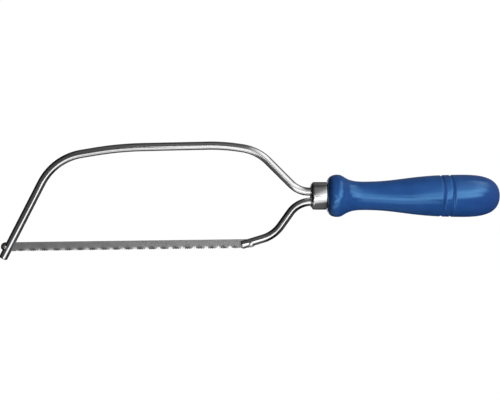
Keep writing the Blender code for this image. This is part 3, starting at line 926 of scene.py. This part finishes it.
butt_side = Vector((BUTT.x, BUTT_FULLNESS * SWELL.y))
butt_top = Vector((SWELL.x + BUTT_LEVEL * (BUTT.x - SWELL.x), SWELL.y))
bulge_front = BULGE + SHOULDER_ROUND * Vector((SHOULDER.x - BULGE.x, 0.0))
shoulder_top = SHOULDER + SHOULDER_ROUND * Vector((0.0, BULGE.y - SHOULDER.y))
grip_runs = [
    (BUTT, butt_side, butt_top, SWELL),
    level_run(SWELL, SWELL_LEVEL, WAIST, WAIST_BACK_LEVEL),
    level_run(WAIST, WAIST_FRONT_LEVEL, BULGE, BULGE_LEVEL),
    (BULGE, bulge_front, shoulder_top, SHOULDER),
]
grip_outline = [(BUTT.x, 0.0)]
for run, points in zip(grip_runs, RUN_POINTS):
    for point in interpolate_bezier(*run, points)[1:]:
        grip_outline.append((point.x, grooved(point.x, point.y)))
grip_outline += [(SHOULDER.x, SPIGOT_RADIUS), (SPIGOT_X, SPIGOT_RADIUS), (SPIGOT_X, 0.0)]
grip = turned("grip_look", grip_outline, TURNED_SIDES, lacquer)
# The hole turns to lie along the grip, with its drawn-out half upwards.
along_grip = Matrix(((0, 1, 0), (0, 0, 1), (1, 0, 0))).to_4x4()
mortise_place = Matrix.Translation((SPIGOT_X, 0.0, TAIL_TANG_Z)) @ along_grip
carve(grip, long_hole(MORTISE_RADIUS, BOW_TANG_Z - TAIL_TANG_Z, 2 * MORTISE_DEPTH, mortise_place))
stand_in(grip, "frame")

# %% [markdown]
# ## The pins
# A pin is a bit of drawn wire pressed through each end of the blade and sheared off. A plain cylinder
# would show a hard white disc at each end. The real ends are slightly domed and their edges broken, so
# the lathe turns them from half a profile and its mirror image.

# %% Pin steel
PIN_GREY = (0.55, 0.55, 0.55, 1)
PIN_BRIGHT = (0.70, 0.70, 0.70, 1)

pin_steel, bench, shader = new_finish("drawn_pin_steel")
on_pin = bench.node("ShaderNodeTexCoord", output=3)
pin_marks = on_pin.stretched(900.0, 90.0, 900.0).grain(1.0)  # 1 mm wide, along the pin
feed(shader, {
    "Base Color": blended(pin_marks, PIN_GREY, PIN_BRIGHT),
    "Metallic": 1.0,
    "Roughness": 0.20 + pin_marks * 0.12,
    "Normal": bumped(pin_marks, 0.15, 0.04 * MM),
})
print("finish:", pin_steel.name)

# %% Pins
PIN_RADIUS = 1.1 * MM
PIN_HALF = 3.0 * MM
PIN_ROUND = 0.25 * MM
PIN_ROUND_STEPS = 5
PIN_DOME = 0.1 * MM
PIN_SIDES = 48
DOME_SHARES = (0.0, 0.2, 0.4, 0.6, 0.8, 0.95)

flat_radius = PIN_RADIUS - PIN_ROUND
half_pin = [(PIN_HALF + PIN_DOME * (1 - share * share), share * flat_radius) for share in DOME_SHARES]
half_pin += rounded(PIN_HALF - PIN_ROUND, flat_radius, PIN_ROUND, 0.0, PIN_ROUND_STEPS)
pin_outline = half_pin + [(-place, radius) for place, radius in reversed(half_pin)]
for pin_name, pin_place in (("front_pin_look", FRONT_PIN), ("rear_pin_look", REAR_PIN)):
    pin = turned(pin_name, pin_outline, PIN_SIDES, pin_steel)
    pin.data.transform(Matrix.Translation(pin_place) @ Matrix.Rotation(math.pi / 2, 4, "Z"))
    stand_in(pin, "blade")

# %% [markdown]
# ## Studio: floor
# The saw stands in front of plain white with no shadow. A matt floor would need a strong lamp to look
# white, and that lamp would light the saw as well. So the floor glows by itself, for the camera alone,
# and no other ray sees it. It lies low enough for the unhooked blade to hang clear of it.

# %% Floor
PAPER_WHITE = 1.02
FLOOR_HALF = 4.0
HANG_DEPTH = PIN_SPACING + 10.0 * MM

floor_z = FRONT_PIN.z - HANG_DEPTH
floor_mesh = bpy.data.meshes.new("floor")
floor_mesh.from_pydata(
    [(x * FLOOR_HALF, y * FLOOR_HALF, floor_z) for x, y in ((-1, -1), (1, -1), (1, 1), (-1, 1))],
    [],
    [(0, 1, 2, 3)],
)
floor = bpy.data.objects.new("floor", floor_mesh)
bpy.context.scene.collection.objects.link(floor)
white_floor, _, shader = new_finish("white_floor")
feed(shader, {
    "Base Color": (0.0, 0.0, 0.0, 1),
    "Specular IOR Level": 0.0,
    "Emission Color": (1, 1, 1, 1),
    "Emission Strength": PAPER_WHITE,
})
floor_mesh.materials.append(white_floor)
for kind in ("diffuse", "glossy", "transmission", "shadow"):
    setattr(floor, "visible_" + kind, False)
print("floor at", round(floor_z, 4), "m")

# %% [markdown]
# ## Studio: room
# Bright rod shows its surroundings like a mirror, so an evenly grey room would make it flat and dull.
# This room is nearly black to the left and below, and grows lighter to the right and upwards, with a
# dark patch straight overhead and a faint glow at the far end. The camera sees white paper instead.

# %% Room
ROOM_GLOW = 0.010
GLOW_TO_RIGHT = 0.175
GLOW_UPWARDS = 0.129
OVERHEAD_LOSS = 0.09
LEAST_GLOW = 0.006
FAR_END_GLOW = 0.05

world = bpy.data.worlds.new("studio")
bpy.context.scene.world = world
world.use_nodes = True
world.node_tree.nodes.clear()
air = Wire(world.node_tree)
to_camera = air.node("ShaderNodeLightPath")
room_x, room_y, room_z = air.node("ShaderNodeTexCoord").parts()
overhead = room_z.fade(0.94, 0.99)
far_end = room_y.fade(0.62, 0.90)
walls = ROOM_GLOW + room_x * GLOW_TO_RIGHT + room_z * GLOW_UPWARDS - overhead * OVERHEAD_LOSS
room_glow = walls.math("MAXIMUM", walls, LEAST_GLOW) + far_end * FAR_END_GLOW
room = air.node("ShaderNodeBackground", {}, {"Color": (1, 1, 1, 1), "Strength": room_glow})
paper = air.node("ShaderNodeBackground", {}, {"Color": (1, 1, 1, 1), "Strength": PAPER_WHITE})
seen = air.node("ShaderNodeMixShader", {}, {0: to_camera, 1: room, 2: paper})
world_end = world.node_tree.nodes.new("ShaderNodeOutputWorld")
world.node_tree.links.new(seen.socket, world_end.inputs["Surface"])
print("room:", len(world.node_tree.nodes), "nodes")

# %% [markdown]
# ## Studio: soft boxes
# On a round rod every lamp becomes a line of light, and the lamp's place decides where round the rod
# that line lies. One big lamp would draw a broad band on all of them. So there are several strips and
# boxes: a wide box and a small card low in front for the line along the top bar, strips in front and
# on the right for the legs, the ferrule and the grip, and faint cards that lift the dark sides. Two
# fills light only what is dull, and are not mirrored. The lamps behind do the same for the far side.

# %% Soft box
FOCUS = Vector((-0.0964, 0.0, -0.00246))
LAYERS = (-1, 0, 1)
LAYER_SPREAD = 2.2
LAYER_GAP = 10.0 * MM


def soft_box(name, azimuth, elevation, distance, wide, high, roll, glow, blur, mirrored):
    """Soft box seen from the saw at an azimuth right of straight ahead and an elevation.

    It is three lamps of growing size, one behind the other, so that its edges fade. Its sizes are
    shares of its distance.
    """
    turn, rise = math.radians(azimuth), math.radians(elevation)
    way = Vector((math.sin(turn) * math.cos(rise), -math.cos(turn) * math.cos(rise), math.sin(rise)))
    turned_to = way.to_track_quat("Z", "Y") @ Quaternion((0, 0, 1), math.radians(roll))
    for layer in LAYERS:
        width = distance * (wide + LAYER_SPREAD * blur * layer)
        height = distance * (high + LAYER_SPREAD * blur * layer)
        lamp = bpy.data.lights.new(name, "AREA")
        lamp.shape = "RECTANGLE"
        lamp.size = width
        lamp.size_y = height
        lamp.energy = glow / len(LAYERS) * math.pi * width * height
        holder = bpy.data.objects.new(name, lamp)
        holder.location = FOCUS + way * (distance + LAYER_GAP * layer)
        holder.rotation_euler = turned_to.to_euler()
        holder.visible_camera = False
        holder.visible_glossy = mirrored
        bpy.context.scene.collection.objects.link(holder)
    print(name, "at", azimuth, elevation, "degrees and", distance, "m")


print("a soft box is", len(LAYERS), "lamps,", LAYER_GAP, "m apart")

# %% Lamps
# Name, azimuth, elevation, distance, width, height, roll, glow, blur of the edges, mirrored or not.
for box in (
    ("low_front_box", -2.0, -54.4, 0.300, 1.375, 0.398, 45.0, 1.05, 0.039, True),
    ("front_strip", -4.6, -6.0, 0.358, 0.100, 0.494, 45.8, 3.8, 0.030, True),
    ("low_right_strip", 14.2, -20.2, 0.300, 0.160, 1.685, -54.0, 3.3, 0.065, True),
    ("right_strip", 33.5, 10.3, 0.342, 0.232, 1.068, -57.2, 1.8, 0.071, True),
    ("high_right_strip", 38.1, 37.7, 1.477, 0.418, 1.786, -39.8, 1.45, 0.097, True),
    ("low_left_wash", -55.9, -72.2, 0.300, 2.955, 1.362, 37.2, 0.13, 0.102, True),
    ("faint_front_card", -15.6, 20.4, 1.500, 1.883, 1.592, 48.5, 0.082, 0.199, True),
    ("low_left_card", -11.7, -25.5, 0.570, 0.330, 0.220, 0.0, 0.75, 0.040, True),
    ("fill", -5.0, -1.0, 0.800, 0.900, 0.900, 0.0, 1.58, 0.050, False),
    ("back_strip", 176.0, -7.0, 0.500, 0.110, 0.640, 62.0, 2.6, 0.045, True),
    ("back_card", 184.0, 10.0, 0.600, 0.260, 0.400, -25.0, 0.7, 0.080, True),
    ("back_fill", 180.0, 8.0, 0.800, 0.900, 0.900, 0.0, 1.5, 0.050, False),
):
    soft_box(*box)

# %% [markdown]
# ## Studio: camera
# The photograph was taken square on. Its distance can't be measured, and half a metre fits. The lens
# could be set by eye, but it follows from the distance and from how much of the saw one pixel covers.

# %% Camera
CAMERA_DISTANCE = 0.5
SENSOR_WIDTH = 36.0
PICTURE_PIXELS = 500
PIXEL_SIZE = 0.5925 * MM

camera_data = bpy.data.cameras.new("camera")
camera_data.sensor_width = SENSOR_WIDTH
camera_data.lens = SENSOR_WIDTH * CAMERA_DISTANCE / (PICTURE_PIXELS * PIXEL_SIZE)
camera = bpy.data.objects.new("camera", camera_data)
camera.location = FOCUS - CAMERA_DISTANCE * Vector((0.0, 1.0, 0.0))
camera.rotation_euler = (math.pi / 2, 0.0, 0.0)
bpy.context.scene.collection.objects.link(camera)
bpy.context.scene.camera = camera
bpy.context.scene.view_settings.view_transform = "Standard"
print("camera at", [round(value, 4) for value in camera.location], "lens", round(camera_data.lens, 2))

# %% [markdown]
